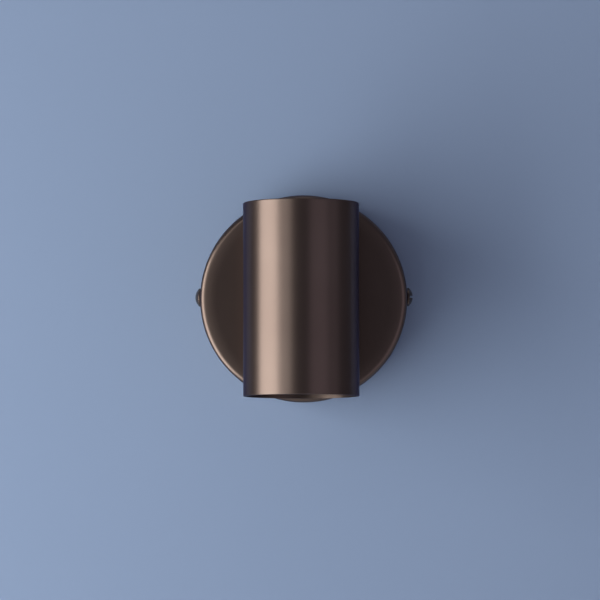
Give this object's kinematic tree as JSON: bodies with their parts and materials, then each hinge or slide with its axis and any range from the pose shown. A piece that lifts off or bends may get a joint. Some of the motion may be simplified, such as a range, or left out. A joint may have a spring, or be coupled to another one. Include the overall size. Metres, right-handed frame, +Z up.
{
  "type": "pivoting spotlight wall light",
  "caption": "Wall spotlight: a round cover plate screwed from its sides carries an open-ended cylindrical lamp head on a knuckle that swivels and tilts.",
  "frame": {"origin": "centre of the cover plate's back edge, in the plane of the wall", "axes": "X right for a viewer facing the wall, +Y into the wall, +Z up"},
  "size_m": [0.116, 0.1113, 0.11],
  "materials": {
    "bronze": "satin bronze plating under clear lacquer, smooth",
    "knuckle_bronze": "satin bronze, machined",
    "zinc_steel": "bright zinc plating",
    "plain_brass": "bright turned brass",
    "nylon": "matte",
    "white_plastic": "satin",
    "fibre": "matte",
    "live_core": "satin",
    "neutral_core": "satin",
    "earth_core": "satin",
    "cable_sheath": "matte",
    "silicone": "matte",
    "steatite": "matte",
    "lamp_shell": "satin",
    "lens_plastic": "gloss",
    "led_board": "matte",
    "phosphor": "satin",
    "nickel": "polished"
  },
  "bodies": {
    "base": {"backplate_cover": "bronze", "cover_screws": "bronze", "wall_bracket": "zinc_steel", "bracket_nuts": "zinc_steel", "earth_ring_terminal": "nickel", "earth_cup_washer": "plain_brass", "earth_screw": "plain_brass", "terminal_block_housing": "white_plastic", "terminal_inserts": "plain_brass", "terminal_clamp_screws": "zinc_steel", "terminal_block_screw": "zinc_steel", "lead_live": "live_core", "lead_neutral": "neutral_core", "lead_earth": "earth_core"},
    "arm": {"knuckle_fork": "knuckle_bronze", "swivel_nipple": "zinc_steel", "face_washer": "nylon", "friction_washer": "fibre", "disc_spring": "zinc_steel", "stop_washer": "zinc_steel", "swivel_nut": "zinc_steel", "cable_bush": "nylon", "pivot_washers": "nylon", "swivel_cable": "cable_sheath"},
    "head": {"head_tongue": "knuckle_bronze", "pivot_screws": "knuckle_bronze", "lamp_tube": "bronze", "top_cap": "bronze", "lampholder_bracket": "zinc_steel", "head_screws": "zinc_steel", "lampholder_body": "steatite", "lampholder_contacts": "plain_brass", "lampholder_screws": "zinc_steel", "holder_earth_tag": "nickel", "holder_earth_screw": "plain_brass", "head_cable": "cable_sheath", "cable_grommet": "silicone", "holder_lead_live": "live_core", "holder_lead_neutral": "neutral_core", "holder_lead_earth": "earth_core"},
    "lamp": {"lamp_housing": "lamp_shell", "lamp_lens": "lens_plastic", "lamp_led_board": "led_board", "lamp_leds": "phosphor", "lamp_base": "lamp_shell", "lamp_pins": "nickel"}
  },
  "joints": [
    {"name": "swivel", "type": "hinge", "parent": "base", "child": "arm", "pos_m": [0, -0.025, 0], "axis": [0, 1, 0], "range_deg": [-169, 169]},
    {"name": "tilt", "type": "hinge", "parent": "arm", "child": "head", "pos_m": [0, -0.037, 0], "axis": [1, 0, 0], "range_deg": [-22, 27]},
    {"name": "lamp_twist", "type": "hinge", "parent": "head", "child": "lamp", "pos_m": [0, -0.0779, 0], "axis": [0, -0.0698, -0.9976], "range_deg": [0, 30]}
  ]
}
